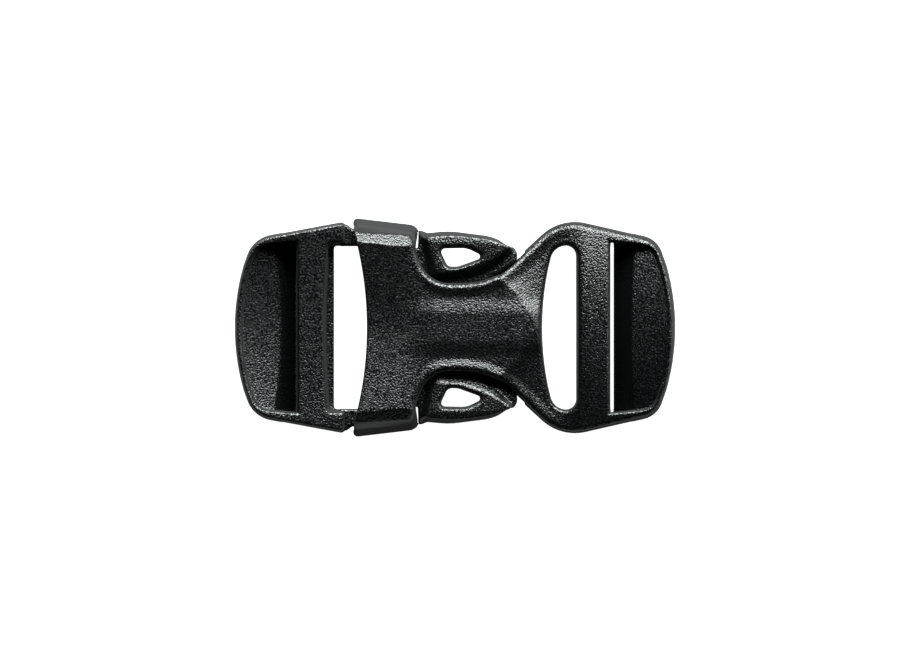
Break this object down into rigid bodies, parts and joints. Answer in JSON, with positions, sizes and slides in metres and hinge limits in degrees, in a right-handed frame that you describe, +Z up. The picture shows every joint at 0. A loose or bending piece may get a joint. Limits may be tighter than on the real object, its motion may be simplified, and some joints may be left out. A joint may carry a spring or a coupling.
{
  "type": "side release buckle",
  "caption": "Side-release webbing buckle, closed, with a crossbar adjuster on the plug and on the socket and two sprung finger arms.",
  "frame": {"origin": "on the underside, in the middle of the closed buckle's length and width", "axes": "+X along the strap from the plug's end to the socket's end, +Y across the webbing, +Z up out of the face with the pockets"},
  "size_m": [0.072, 0.0356, 0.0096],
  "materials": {
    "socket_plastic": "black acetal with a fine moulded grain, satin, smoother on the edges",
    "plug_plastic": "black acetal with a fine moulded grain, satin, smoother on the edges"
  },
  "bodies": {
    "socket": {"socket": "socket_plastic"},
    "plug": {"plug_frame": "plug_plastic"},
    "arm_left": {"arm_left": "plug_plastic"},
    "arm_right": {"arm_right": "plug_plastic"}
  },
  "joints": [
    {"name": "plug_play", "type": "slide", "parent": "socket", "child": "plug", "axis": [1, 0, 0], "range_m": [-0.0003, 0.0008]},
    {"name": "squeeze_left", "type": "hinge", "parent": "plug", "child": "arm_left", "pos_m": [-0.01465, 0.01475, 0.0048], "axis": [0, 0, -1], "range_deg": [0, 13], "stiffness_Nm_per_rad": 0.9},
    {"name": "squeeze_right", "type": "hinge", "parent": "plug", "child": "arm_right", "pos_m": [-0.01465, -0.01475, 0.0048], "axis": [0, 0, 1], "range_deg": [0, 13], "stiffness_Nm_per_rad": 0.9}
  ]
}
